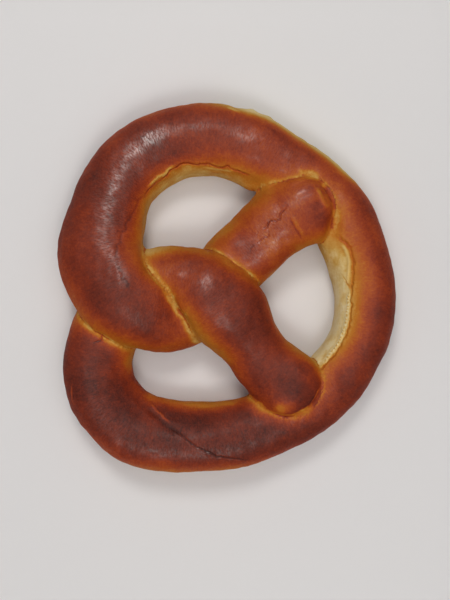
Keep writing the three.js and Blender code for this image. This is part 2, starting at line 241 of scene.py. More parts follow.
        # on end B's dimple, (33.46, 61) is a lighter bump, a painted highlight on its rim, and
        # (33.38, 55) a darker pit, painted shade in it
        (13.35, 168, 1.5, 0.3, 0.1, 0.6), (33.46, 61, 0.6, 0.22, 0.74, 0.4),
        (33.38, 55, 0.5, -0.2, 0.95, 0.6), (18.75, 131, 0.6, 0.25),
        (15.81, 116, 0.5, 0.3, 0.5, 0.5), (7.69, 109, 0.6, 0.28, 0.7, 0.3),
        (5.72, 126, 0.6, 0.25, 0.7, 0.3), (25.96, 79, 0.6, -0.3, 0.62, 0.7),
        (26.24, 136, 0.6, -0.25, 0.55, 0.6), (26.08, 76, 0.6, 0.3, 0.26, 0.8),
        (23.7, 171, 0.6, -0.35, 0.95, 0.6), (20.69, 109, 0.5, -0.1, 0.95, 0.5),
        (20.0, 109, 0.5, -0.1, 0.9, 0.4), (19.06, 139, 0.6, -0.1, 0.95, 0.5),
        (34.4, 52, 2.6, 0.3, 0.28, 0.85), (34.6, 66, 2.4, 0.15, 0.42, 0.4),
        (34.1, 90, 4.5, -0.3, 0.9, 0.6), (-0.3, 110, 5.0, 0.0, 0.7, 0.4),
        (-0.55, 68, 1.6, -0.06, 0.78, 0.5), (-0.54, 96, 2.3, -0.1, 0.84, 0.65),
        (-0.42, 116, 3.2, 0.0, 0.82, 0.6), (0.62, 70, 3.6, 0.0, 0.67, 0.5),
        (-0.97, 90, 2.6, 0.0, 0.42, 0.7), (-0.88, 140, 3.2, -1.2), (-0.74, 156, 2.8, -0.7),
        (-0.28, 178, 2.6, 0.5), (1.51, 71, 4.5, 0.0, 0.66, 0.4), (28.93, 62, 0.7, 0.25, 0.12, 0.8),
        (29.85, 34, 0.6, 0.25, 0.14, 0.7), (14.35, 91, 0.8, 0.2, 0.16, 0.6),
        (14.59, 93, 0.6, 0.1, 0.2, 0.4), (14.9, 96, 0.8, 0.2, 0.18, 0.6),
        (15.24, 91, 0.7, 0.1, 0.18, 0.6), (31.3, 92, 5.5, 0.0, 0.86, 0.6),
        (31.7, 100, 4.5, 0.0, 0.88, 0.5), (9.6, 131, 6.0, 0.0, 0.87, 0.4),
        (7.34, 101, 4.5, 0.0, 0.83, 0.4), (6.35, 93, 5.0, 0.0, 0.82, 0.4), (29.35, 80, 9.0, -0.8),
        (28.75, 96, 5.0, 0.7), (28.95, 96, 2.2, 0.14), (29.1, 72, 2.0, 0.14),
        (29.6, 92, 2.0, 0.12), (29.7, 70, 2.2, 0.1), (30.82, 82, 4.6, 0.22),
        (2.63, 74, 3.6, 0.15), (6.24, 109, 4.2, 0.05), (12.55, 102, 3.0, 0.25),
        (13.27, 97, 2.6, 0.25), (14.0, 98, 2.4, 0.2), (10.6, 98, 8.0, 0.25),
        (-0.31, 62, 2.0, 0.25), (11.7, 6, 6.5, -1.0), (12.6, 6, 6.0, -1.1), (13.6, 4, 3.6, 1.7),
        (14.0, 0, 2.6, -1.8), (1.1, 4, 4.5, -1.3),
    ],
}

route = np.array(pretzel["route"])
lastStation = len(route) - 1.0
reach = pretzel["lineReach"]
valleyGap = pretzel["valleyGap"]


# A cubic through the rows at whole stations: its slope there is half the step between neighbours.
def throughStations(rows, station):
    rows = np.vstack([2 * rows[0] - rows[1], rows, 2 * rows[-1] - rows[-2]])
    first = np.clip(np.floor(station).astype(int), 0, len(rows) - 4)
    t = (station - first)[..., None]
    a, b, c, d = (rows[first + k] for k in range(4))
    return 0.5 * (
        2 * b + (c - a) * t + (2 * a - 5 * b + 4 * c - d) * t**2 + (3 * b - a - 3 * c + d) * t**3)


# The rope at each station: its middle, the level directions along it and to its right, the length
# of one station, half width and half height.
def ropeAt(station):
    station = np.clip(station, 0, lastStation)
    row = throughStations(route, station)
    step = 0.01
    before = np.clip(station - step, 0, lastStation)
    after = np.clip(station + step, 0, lastStation)
    along = (throughStations(route, after) - throughStations(route, before))[..., :3]
    along[..., 2] = 0
    length = np.linalg.norm(along, axis=-1)
    along = along / length[..., None]
    right = np.stack([along[..., 1], -along[..., 0], 0 * length], -1)
    return row[..., :3], along, right, length / (after - before), row[..., 3], row[..., 4]


# Each row made one long.
def unit(rows):
    return rows / np.linalg.norm(rows, axis=-1)[..., None]


# The columns of a table at each station, on straight lines between its rows.
def columnsAt(station, table):
    rows = np.array(table, float)
    return [np.interp(station, rows[:, 0], column) for column in rows.T[1:]]


# A number to a power, with its sign kept.
def signedPower(value, power):
    return np.sign(value) * np.abs(value) ** power


# The skin: the rope's middle, plus right * half width * cosine, plus up * half height * sine, each
# to the power 2 / fullness. shrink narrows the section, and advance moves it on in half widths.
def ropeSkin(station, angle, shrink=1.0, advance=0.0):
    middle, along, right, _, halfWidth, halfHeight = ropeAt(station)
    turn = np.radians(angle)
    power = 2 / pretzel["fullness"]
    sideways = halfWidth * shrink * signedPower(np.cos(turn), power)
    up = halfHeight * shrink * signedPower(np.sin(turn), power)
    point = middle + along * (halfWidth * advance)[..., None] + right * sideways[..., None]
    point[..., 2] += up
    return point


# The rounded end of the rope: shrink = (1 - part^fullness)^(1 / fullness), part from 0 to 1.
def endRings(station, direction, end):
    part = np.sin(np.linspace(0, np.pi / 2, pretzel["endSteps"] + 2))[1:-1]
    shrink = (1 - part ** end["fullness"]) ** (1 / end["fullness"])
    return station + 0 * part, shrink, direction * end["reach"] * part


# The rope as a grid of stations by angles, and a point at each pole.
def ropeGrid():
    body = np.linspace(0, lastStation, int(lastStation) * pretzel["stepsPerStation"] + 1)
    upper = endRings(0.0, -1, pretzel["upperEnd"])
    lower = endRings(lastStation, 1, pretzel["lowerEnd"])
    station = np.concatenate([upper[0][::-1], body, lower[0]])[:, None]
    shrink = np.concatenate([upper[1][::-1], 1 + 0 * body, lower[1]])[:, None]
    advance = np.concatenate([upper[2][::-1], 0 * body, lower[2]])[:, None]
    angle = np.linspace(0, 360, pretzel["sides"], endpoint=False)[None, :]
    shape = (len(station), angle.shape[1])
    wide = [np.broadcast_to(v, shape) for v in (station, angle, shrink, advance)]
    grid = ropeSkin(*wide)
    zero = np.zeros(1)
    firstPole = ropeSkin(zero, zero, zero, zero - pretzel["upperEnd"]["reach"])
    lastPole = ropeSkin(zero + lastStation, zero, zero, zero + pretzel["lowerEnd"]["reach"])
    return grid, firstPole, lastPole


# The tray pushes the dough up flat: height becomes (height + root(height^2 + edge^2)) / 2.
def onTray(point):
    point = point.copy()
    point[..., 2] = (point[..., 2] + np.hypot(point[..., 2], pretzel["trayEdge"])) / 2
    return point


# A closed tube: quads between the grid's rings, and a fan from each pole.
def tubeMesh(name, grid, firstPole, lastPole):
    rings, sides = grid.shape[:2]
    ring, side = np.meshgrid(np.arange(rings - 1), np.arange(sides), indexing="ij")
    here = ring * sides + side
    beside = ring * sides + (side + 1) % sides
    quads = np.stack([here, beside, beside + sides, here + sides], -1).reshape(-1, 4)
    edge = np.arange(sides)
    following = (edge + 1) % sides
    pole = rings * sides
    firstFan = np.stack([following, edge, 0 * edge + pole], -1)
    lastRing = (rings - 1) * sides
    lastFan = np.stack([edge + lastRing, following + lastRing, 0 * edge + pole + 1], -1)
    points = np.concatenate([grid.reshape(-1, 3), firstPole, lastPole]) * mm
    mesh = bpy.data.meshes.new(name)
    mesh.from_pydata(points.tolist(), [], quads.tolist() + firstFan.tolist() + lastFan.tolist())
    return mesh


# A new object in the scene.
def addObject(name, data):
    made = bpy.data.objects.new(name, data)
    bpy.context.scene.collection.objects.link(made)
    return made


# One closed skin round the mesh, in even quads of the voxel's size.
def fused(mesh, voxel):
    lump = addObject("lump", mesh)
    remesh = lump.modifiers.new("fuse", "REMESH")
    remesh.mode = "VOXEL"
    remesh.voxel_size = voxel * mm
    remesh.use_smooth_shade = True
    finished = lump.evaluated_get(bpy.context.evaluated_depsgraph_get())
    made = bpy.data.meshes.new_from_object(finished)
    bpy.data.objects.remove(lump)
    return made


# The mesh's points in mm, one in each row.
def readPoints(mesh):
    points = np.empty(len(mesh.vertices) * 3, np.float32)
    mesh.vertices.foreach_get("co", points)
    return points.reshape(-1, 3).astype(float) / mm


# The four points of each face, one face in each row.
def readQuads(mesh):
    corners = np.empty(len(mesh.loops), np.int32)
    mesh.loops.foreach_get("vertex_index", corners)
    return corners.reshape(-1, 4).astype(int)


# The sum of the rows that belong to each point.
def sumAt(point, rows, count):
    return np.stack([np.bincount(point, rows[:, k], count) for k in range(3)], 1)


# A point's normal: the sum of its quads' normals, each the cross product of its diagonals.
def pointNormals(points, quads):
    a, b, c, d = (points[quads[:, k]] for k in range(4))
    facing = np.cross(c - a, d - b)
    return unit(sumAt(quads.ravel(), np.repeat(facing, 4, axis=0), len(points)))


# The four edges of each quad, as pairs of points.
def edgesOf(quads):
    return np.stack([quads, np.roll(quads, -1, axis=1)], -1)


# Each chosen quad becomes four. A new point is the mean of its corners, lifted half way to the
# mean of their tangent planes. Faces beside the chosen ones take in the new points, and become
# rims, faces of five to eight corners.
def quartered(points, normals, near, quads, rims, chosen):
    corners = quads[chosen]
    ends = np.sort(edgesOf(corners), axis=-1)
    pairs, index = np.unique(ends.reshape(-1, 2), axis=0, return_inverse=True)
    onEdge = len(points) + index.reshape(-1, 4)
    inside = len(points) + len(pairs) + np.arange(len(corners))
    inside = np.broadcast_to(inside[:, None], corners.shape)
    small = np.stack([corners, onEdge, inside, np.roll(onEdge, 1, axis=1)], -1).reshape(-1, 4)
    added = [[], [], []]
    for group in (pairs, corners):
        middle = points[group].mean(1)
        lift = ((points[group] - middle[:, None]) * normals[group]).sum(2)
        added[0].append(middle + 0.5 * (lift[..., None] * normals[group]).mean(1))
        added[1].append(unit(normals[group].sum(1)))
        added[2].append(near[group].mean(1))
    rest = quads[~chosen]
    ends = np.sort(edgesOf(rest), axis=-1)
    keys, wanted = (group[..., 0] * len(points) + group[..., 1] for group in (pairs, ends))
    found = np.searchsorted(keys, wanted).clip(0, len(keys) - 1)
    shared = keys[found] == wanted
    touched = shared.any(1)
    wide = np.full((touched.sum(), 8), -1)
    wide[:, 0::2] = rest[touched]
    wide[:, 1::2] = np.where(shared, len(points) + found, -1)[touched]
    fields = zip((points, normals, near), added)
    points, normals, near = (np.concatenate([old, *new]) for old, new in fields)
    quads = np.concatenate([rest[~touched], small])
    return points, normals, near, quads, np.concatenate([rims, wide])


# A mesh of the quads and of the rims, whose rows are filled up with -1.
def meshOf(name, points, quads, rims):
    wide = np.split(rims[rims >= 0], np.cumsum((rims >= 0).sum(1))[:-1])
    mesh = bpy.data.meshes.new(name)
    mesh.from_pydata((points * mm).tolist(), [], quads.tolist() + [face.tolist() for face in wide])
    mesh.update()
    return mesh


# Every round moves each point half way to the mean of its neighbours.
def smoothed(points, quads, rounds):
    edges = edgesOf(quads).reshape(-1, 2)
    point, neighbour = np.concatenate([edges, edges[:, ::-1]]).T
    count = np.bincount(point, minlength=len(points))[:, None]
    for _ in range(rounds):
        points = (points + sumAt(point, points[neighbour], len(points)) / count) / 2
    return points


# The crust at (station, angle). Past the last stations the section shrinks as in endRings.
def crustAt(station, angle):
    _, _, _, length, halfWidth, _ = ropeAt(station)
    shrink = np.ones_like(station)
    advance = np.zeros_like(station)
    ends = (-station, pretzel["upperEnd"], -1), (station - lastStation, pretzel["lowerEnd"], 1)
    for past, end, direction in ends:
        part = np.clip(past * length / (halfWidth * end["reach"]), 0, 0.99)
        shrink = shrink * (1 - part ** end["fullness"]) ** (1 / end["fullness"])
        advance = advance + direction * end["reach"] * part
    return ropeSkin(station, angle, shrink, advance)


# Each point's place: the station whose section holds it most deeply, moved on by how far the point
# lies ahead, the angle round that section, and the gap to the nearest other strand.
def ropePlaces(points):
    samplesPerStation = 12
    apart = 3.2  # stations between two strands that aren't neighbours along the rope
    slack = 4.0  # mm ahead or behind that count as one half width
    nearby = 1.0  # mm ahead or behind another strand's section that count as beside it
    atOnce = 4000  # points
    body = np.linspace(0, lastStation, int(lastStation) * samplesPerStation + 1)
    upper = endRings(0.0, -1, pretzel["upperEnd"])
    lower = endRings(lastStation, 1, pretzel["lowerEnd"])
    rings = zip(upper, (body, 1 + 0 * body, 0 * body), lower)
    samples, shrink, advance = (np.concatenate(parts) for parts in rings)
    middle, along, right, length, halfWidth, halfHeight = ropeAt(samples)
    middle = middle + along * (halfWidth * advance)[:, None]
    samples = samples + advance * halfWidth / length
    halfWidth, halfHeight = halfWidth * shrink, halfHeight * shrink
    power = pretzel["fullness"] / 2
    station, angle, gap = (np.empty(len(points)) for _ in range(3))
    for some in np.array_split(np.arange(len(points)), len(points) // atOnce + 1):
        offset = points[some][:, None, :] - middle[None]
        side = np.einsum("psk,sk->ps", offset, right) / halfWidth
        up = offset[..., 2] / halfHeight
        ahead = np.einsum("psk,sk->ps", offset, along)
        depth = side**2 + up**2 + (ahead / slack) ** 2
        best = depth.argmin(1)
        row = np.arange(len(some))
        station[some] = samples[best] + ahead[row, best] / length[best]
        turn = np.arctan2(signedPower(up[row, best], power), signedPower(side[row, best], power))
        angle[some] = np.degrees(turn)
        depth[np.abs(samples[None] - samples[best][:, None]) < apart] = np.inf
        other = depth.argmin(1)
        beyond = np.maximum(np.abs(ahead[row, other]) - nearby, 0)
        outside = np.sqrt(side[row, other] ** 2 + up[row, other] ** 2) - 1
        gap[some] = np.hypot(np.maximum(outside, 0) * halfWidth[other], beyond)
    return station, np.where(angle < -90, angle + 360, angle), gap


# 0 below low, 1 above high, and an even S-curve between.
def rise(value, low, high):
    t = np.clip((value - low) / (high - low), 0, 1)
    return t * t * (3 - 2 * t)


# A smooth random field of unit spread: the sum of plane waves in random directions, all of about
# one wavelength, times root(2 / count).
def waves(points, wavelength, seed, count=28):
    random = np.random.default_rng(seed)
    heading = unit(random.normal(size=(count, 3)))
    shortest, longest = 0.75, 1.35  # times the wavelength
    pitch = 2 * np.pi / (wavelength * random.uniform(shortest, longest, count))
    phase = random.uniform(0, 2 * np.pi, count)
    return np.cos(points @ (heading * pitch[:, None]).T + phase).sum(1) * np.sqrt(2 / count)


# A sum of such fields, one for each layer.
def layered(points, layers, seed=0, count=28):
    return sum(high * waves(points, long, seed + own, count) for long, high, own in layers)


# A line on the crust, a smooth curve through its places that wobbles: its points, the direction
# to its left, how far along it they lie, and its strength, which fades at both ends.
def crustLine(line, seed):
    fade = 2.5  # mm at each end
    least = 0.15  # of its strength is left there
    samples = 24  # for each place
    places = np.array(line["places"], float)
    spot = throughStations(places, np.linspace(0, len(places) - 1, samples * len(places)))
    points = crustAt(spot[:, 0], spot[:, 1])
    middle = ropeAt(spot[:, 0])[0]
    step = np.gradient(points, axis=0)
    pace = np.linalg.norm(step, axis=1)
    direction = step / pace[:, None]
    outward = points - middle
    outward = unit(outward - direction * (outward * direction).sum(1)[:, None])
    across = np.cross(outward, direction)
    wobble = line.get("wobble", 0) * layered(points, pretzel["lineWobble"], seed, count=8)
    points = points + across * wobble[:, None]
    length = np.cumsum(pace)
    strength = rise(length, 0, fade) * rise(length[-1] - length, 0, fade)
    return points, across, length, least + (1 - least) * strength


# The signed distance of each point from a line, the distance along it and its strength there. Only
# points within reach are measured, and half a station past its ends.
def lineField(points, station, line, seed):
    atOnce = 3000  # points
    spine, across, length, strength = crustLine(line, seed)
    places = np.array(line["places"], float)
    near = ((points > spine.min(0) - reach) & (points < spine.max(0) + reach)).all(1)
    near &= (station > places[:, 0].min() - 0.5) & (station < places[:, 0].max() + 0.5)
    near = near.nonzero()[0]
    distance = np.full(len(points), reach)
    along = np.zeros(len(points))
    heft = np.zeros(len(points))
    for some in np.array_split(near, len(near) // atOnce + 1):
        offset = points[some][:, None, :] - spine[None]
        closest = (offset**2).sum(2).argmin(1)
        offset = offset[np.arange(len(some)), closest]
        sideways = (offset * across[closest]).sum(1)
        beyond = np.sqrt(np.maximum((offset**2).sum(1) - sideways**2, 0))
        beyond = np.where((closest == 0) | (closest == len(spine) - 1), beyond, 0)
        far = np.hypot(sideways, beyond)
        distance[some] = np.where(far < reach, np.where(sideways < 0, -far, far), reach)
        along[some] = length[closest]
        heft[some] = np.where(far < reach, strength[closest], 0)
    return distance, along, heft


# The colour value of the crust: on each side it falls in an S-curve from the top's to the side's.
def bakedAt(station, angle):
    top, *sides = columnsAt(station, pretzel["baking"])
    right, rightBrown, rightPale, left, leftBrown, leftPale = sides
    value = right + (top - right) * rise(angle, rightPale, rightBrown)
    return left + (value - left) * (1 - rise(angle, leftBrown, leftPale))


# A value or a vector for each point, which the material reads.
def addAttribute(mesh, name, values, kind="FLOAT", field="value"):
    attribute = mesh.attributes.new(name, kind, "POINT")
    attribute.data.foreach_set(field, np.ascontiguousarray(values, np.float32).ravel())


# The skin of the fused rope, quartered near lines and in seams, and again nearer to the lines.
def makeSkin():
    grid, firstPole, lastPole = ropeGrid()
    tube = tubeMesh("rope", onTray(grid), onTray(firstPole), onTray(lastPole))
    lump = fused(tube, pretzel["voxel"])
    quads = readQuads(lump)
    points = smoothed(readPoints(lump), quads, pretzel["smoothRounds"])
    bpy.data.meshes.remove(lump)
    normals = pointNormals(points, quads)
    station, _, gap = ropePlaces(points)
    near = np.full(len(points), reach)
    for line in pretzel["lines"].values():
        near = np.minimum(near, np.abs(lineField(points, station, line, 1)[0]))
    first, second = pretzel["fineWithin"]
    seam = pretzel["seamFine"]
    inSeam = (gap < seam["within"]) & (points[:, 2] > seam["above"])
    near = np.minimum(near, np.where(inSeam, second, reach))
    rims = np.empty((0, 8), int)
    chosen = near[quads].min(1) < first
    points, normals, near, quads, rims = quartered(points, normals, near, quads, rims, chosen)
    chosen = near[quads].max(1) < second
    points, normals, near, quads, rims = quartered(points, normals, near, quads, rims, chosen)
    return points, normals, quads, rims


# Seams: the colour value falls to gold within goldWidth of the valley's bottom, and to orange by
# (1 - away / orangeWidth)^power. The groove is depth * exp(-(away / width)^2).
def addSeams(points, station, angle, gap, relief, baked):
    sides = columnsAt(station, [(row + row[1:])[:7] for row in pretzel["seams"]])
    onLeft = rise(angle, *pretzel["seamSides"])
    gold, goldWidth, orangeWidth = (a + (b - a) * onLeft for a, b in zip(sides[:3], sides[3:]))
    away = np.maximum(gap - valleyGap + layered(points, pretzel["seamWander"]), 0)
    orange = pretzel["seamOrange"]
    beside = (1 - np.clip(away / orangeWidth, 0, 1)) ** orange["power"]
    baked += np.minimum(orange["value"] - baked, 0) * beside
    first, last = pretzel["goldEnd"]
    inSeam = 1 - rise(away, first * goldWidth, last * goldWidth)
    gold = gold + layered(points, pretzel["seamShade"])
    baked += np.minimum(gold - baked, 0) * inSeam
    groove = pretzel["seamGroove"]
    relief -= groove["depth"] * np.exp(-((away / groove["width"]) ** 2))


# A wall of bare crumb below its line, browner by rim * exp(-below / rimWidth), and a step lower,
# which levels out as exp(-below / stepWidth).
def addWall(points, station, angle, away, line, seed, relief, baked):
    walls = pretzel["walls"]
    places = np.array(line["places"], float)
    start, end = places[[0, -1], 0]
    fade = walls["endFade"]
    within = rise(station, start - fade, start + fade) * (1 - rise(station, end - fade, end + fade))
    below = (columnsAt(station, places)[0] - angle) * walls["mmPerDegree"]
    below = np.where(np.abs(away) < reach, -away, below)
    bare = rise(below, *walls["edge"]) * within * rise(angle, *walls["lowest"])
    below = np.maximum(below, 0)
    crumb = columnsAt(station, line["wall"])[0] + layered(points, pretzel["crumbShade"], seed)
    crumb = crumb + walls["rim"] * np.exp(-below / walls["rimWidth"])
    baked += (crumb - baked) * bare
    relief -= line["step"] * bare * np.exp(-below / walls["stepWidth"])


# Lines: a groove of depth * exp(-(away / width)^2), lips of the same form, and a pale stripe of
# exp(-(away / stripe)^4). A pleated groove comes and goes as a cosine along it, and its painted
# shade is strongest between its ridges. Gives the distance to the nearest line with painted shade
# down it, and how much.
def addLines(points, station, angle, relief, baked):
    lips = pretzel["lips"]
    pleatSwing = 0.3  # of a pleated groove's depth
    paleShare = 0.9  # of the way to the stripe's value
    distance = np.full(len(points), reach)
    paintedShade = np.zeros(len(points))
    for seed, line in enumerate(pretzel["lines"].values(), pretzel["firstLineSeed"]):
        away, along, heft = lineField(points, station, line, 2 * seed)
        wide = line["width"]
        pleat = 1.0
        # painted shade down the crack or crease
        paintedShadeHere = heft * line.get("paintedShade", 0)
        if "pleat" in line:
            shift = layered(points, pretzel["pleatShift"], seed)
            pleat = 1 - pleatSwing + pleatSwing * np.cos(2 * np.pi * along / line["pleat"] + shift)
            # painted shade between the pleats' ridges
            paintedShadeHere = paintedShadeHere * 2 * (1 - pleat)
        if "wall" in line:
            addWall(points, station, angle, away, line, seed, relief, baked)
        relief -= line["depth"] * heft * pleat * np.exp(-((away / wide) ** 2))
        lip = (np.abs(away) - lips["at"] * wide) / (lips["width"] * wide)
        relief += line.get("lip", 0) * heft * np.exp(-(lip**2))
        if "pale" in line:
            value, stripe = line["pale"]
            share = paleShare * heft * np.exp(-((away / stripe) ** 4))
            baked += (value - baked) * share
        away = away / line.get("soft", 1)
        closer = (np.abs(away) < np.abs(distance)) & (line.get("paintedShade", 0) > 0)
        distance = np.where(closer, away, distance)
        paintedShade = np.where(closer, paintedShadeHere, paintedShade)
    return distance, paintedShade


# Spots: bumps of height * spread, where spread = exp(-(distance / radius)^2), and colour shares
# of 1.3 * spread, up to 1: stains, and on end B's dimple a painted highlight and painted shade.
def addSpots(points, relief, baked):
    stainAndLightGain = 1.3
    for place, around, radius, height, *stainAndPaintedLight in pretzel["spots"]:
        centre = crustAt(np.array([place]), np.array([around], float))
        spread = np.exp(-((points - centre) ** 2).sum(1) / radius**2)
        relief += height * spread
        if stainAndPaintedLight:
            value, share = stainAndPaintedLight
            baked += (value - baked) * share * np.minimum(stainAndLightGain * spread, 1)


# How glossy the crust is: share * exp(-((angle - centre) / spread)^2).
def glossAt(station, angle):
    share, centre, spread = columnsAt(station, pretzel["gloss"])
    return share * np.exp(-(((angle - centre) / spread) ** 2))


# Places in mm: the route's length up to the station, and the angle times a typical radius.
def placeInMm(station, angle):
    every = 0.1  # stations
    lengths = np.cumsum(ropeAt(np.arange(every / 2, lastStation, every))[3]) * every
    lengths = np.concatenate([[0], lengths])
    along = np.interp(station, np.arange(len(lengths)) * every, lengths)
    return np.stack([along, np.radians(angle) * pretzel["typicalRadius"], 0 * along], 1)


# The whole pretzel: its skin is moved along its normals by the relief less the shrink, and not
# where it lies on the tray.
def makePretzel():
    points, normals, quads, rims = makeSkin()
    print("pretzel: skin of", len(quads), "quads and", len(rims), "rims")
    station, angle, gap = ropePlaces(points)
    print("pretzel: placed on the rope")

    relief = layered(points, pretzel["swells"])
    sides, seams = pretzel["leanFade"]["sides"], pretzel["leanFade"]["seams"]
    upper = rise(angle, 0, sides) * (1 - rise(angle, 180 - sides, 180)) * rise(gap, 0, seams)
    lean = columnsAt(station, pretzel["lean"])[0]
    relief += lean * np.sin(np.radians(2 * (90 - angle))) * upper
    baked = bakedAt(station, angle)
    addSeams(points, station, angle, gap, relief, baked)
    baked += layered(points, pretzel["crustShade"]) * rise(baked, *pretzel["crustShaded"])
    distance, paintedShade = addLines(points, station, angle, relief, baked)
    addSpots(points, relief, baked)
    free = rise(points[:, 2], pretzel["relief"]["from"], pretzel["relief"]["full"])
    points = points + normals * (free * (relief - pretzel["shrink"]))[:, None]
    points[:, 2] -= points[:, 2].min()
    under = pretzel["underside"]
    below = (1 - rise(points[:, 2], *under["heights"])) * rise(-normals[:, 2], *under["facing"])
    value = under["value"] + layered(points, pretzel["undersideShade"])
    baked = baked * (1 - below) + below * value

    mesh = meshOf("pretzel", points, quads, rims)
    addAttribute(mesh, "baked", np.clip(baked, 0, pretzel["darkest"]))
    addAttribute(mesh, "lineDistance", distance)
    # painted shade down the cracks and creases, for the material
    addAttribute(mesh, "linePaintedShade", paintedShade)
    addAttribute(mesh, "seamGap", gap - valleyGap)
    addAttribute(mesh, "gloss", glossAt(station, angle))
    addAttribute(mesh, "place", placeInMm(station, angle), "FLOAT_VECTOR", "vector")
    mesh.polygons.foreach_set("use_smooth", np.ones(len(mesh.polygons), bool))
    print("pretzel: relief and baking done")
    return addObject("pretzel_crust", mesh)


crust = {
    # colour of the crust by its colour value
    "colours": [
        (0.0, (0.78, 0.66, 0.38)), (0.06, (0.74, 0.58, 0.27)), (0.17, (0.61, 0.365, 0.085)),
        (0.3, (0.51, 0.18, 0.012)), (0.45, (0.44, 0.088, 0.006)), (0.6, (0.335, 0.046, 0.007)),
        (0.75, (0.215, 0.026, 0.007)), (0.9, (0.115, 0.015, 0.006)), (1.0, (0.06, 0.009, 0.005)),
    ],
    "mottle": [(6.0, 0.18), (2.2, 0.19), (0.8, 0.27)],  # its blotches: sizes in mm, and shares
    "mottled": {"from": 0.15, "to": 0.6, "least": 0.2},  # colour values over which they fade in
    # its leathery skin: the wrinkles' width in mm, how many times longer they are across it, and
    # how much darker their furrows are, as painted shade
    "wrinkles": {"size": 0.6, "stretch": 4.0, "height": 0.22, "darker": 0.2},
    "pebbles": {"size": 0.5, "height": 0.12},
    # how much darker it is down a tear and along the bottom of a seam, as painted shade, over how
    # many mm, and how ragged in mm
    "tear": {"darker": 0.42, "from": 0.05, "to": 0.45, "ragged": 0.4},
    "seam": {"darker": 0.26, "from": 0.05, "to": 0.4, "ragged": 0.5},
    "raggedSize": 0.9,
    "patches": {"size": 6.0, "from": 0.45, "to": 0.6, "least": 0.1},  # where the painted shade at the seam's bottom shows
    "satin": {"from": 0.12, "to": 0.5},  # dull as crumb below these colour values, and satin above
    "crumbRoughness": 0.85,
    "roughness": 0.62,
    "roughnessRagged": 0.2,
    "specular": 0.15,
    # its glaze, in streaks: where their noise starts and is full, and the share between and in them
    "streaks": {"size": 0.45, "stretch": 3.0, "from": 0.38, "to": 0.64,
                "least": 0.14, "most": 0.92},
    "glazeRoughness": 0.34,
}


# A shader node with its settings and inputs: a socket is linked, and a value is set.
def addNode(tree, kind, settings={}, inputs={}):
    node = tree.nodes.new(kind)
    for name, value in settings.items():
        setattr(node, name, value)
    for name, value in inputs.items():
        if isinstance(value, bpy.types.NodeSocket):
            tree.links.new(value, node.inputs[name])
        else:
            node.inputs[name].default_value = value
    return node


# One sum on up to three values.
def calculate(tree, operation, a, b=0.0, c=0.0):
    return addNode(tree, "ShaderNodeMath", {"operation": operation}, {0: a, 1: b, 2: c}).outputs[0]


# A value that the mesh holds for each point.
def readAttribute(tree, name, output="Fac"):
    return addNode(tree, "ShaderNodeAttribute", {"attribute_name": name}).outputs[output]


# Noise from 0 to 1, of about one size in the units of its vector.
def noise(tree, vector, size, detail=2.0, roughness=0.6):
    inputs = {"Vector": vector, "Scale": 1 / size, "Detail": detail, "Roughness": roughness}
    return addNode(tree, "ShaderNodeTexNoise", {}, inputs).outputs["Fac"]


# Places on the rope, drawn out across it so that noise there makes streaks.
def drawnOut(tree, stretch):
    inputs = {"Vector": readAttribute(tree, "place", "Vector"), "Scale": (1.0, 1 / stretch, 1.0)}
    return addNode(tree, "ShaderNodeMapping", {}, inputs).outputs[0]


# One value below from and another above to, and an even S-curve between.
def faded(tree, value, settings, low, high):
    inputs = {"Value": value, "From Min": settings["from"], "From Max": settings["to"],
              "To Min": low, "To Max": high}
    node = addNode(tree, "ShaderNodeMapRange", {"interpolation_type": "SMOOTHSTEP"}, inputs)
    return node.outputs[0]


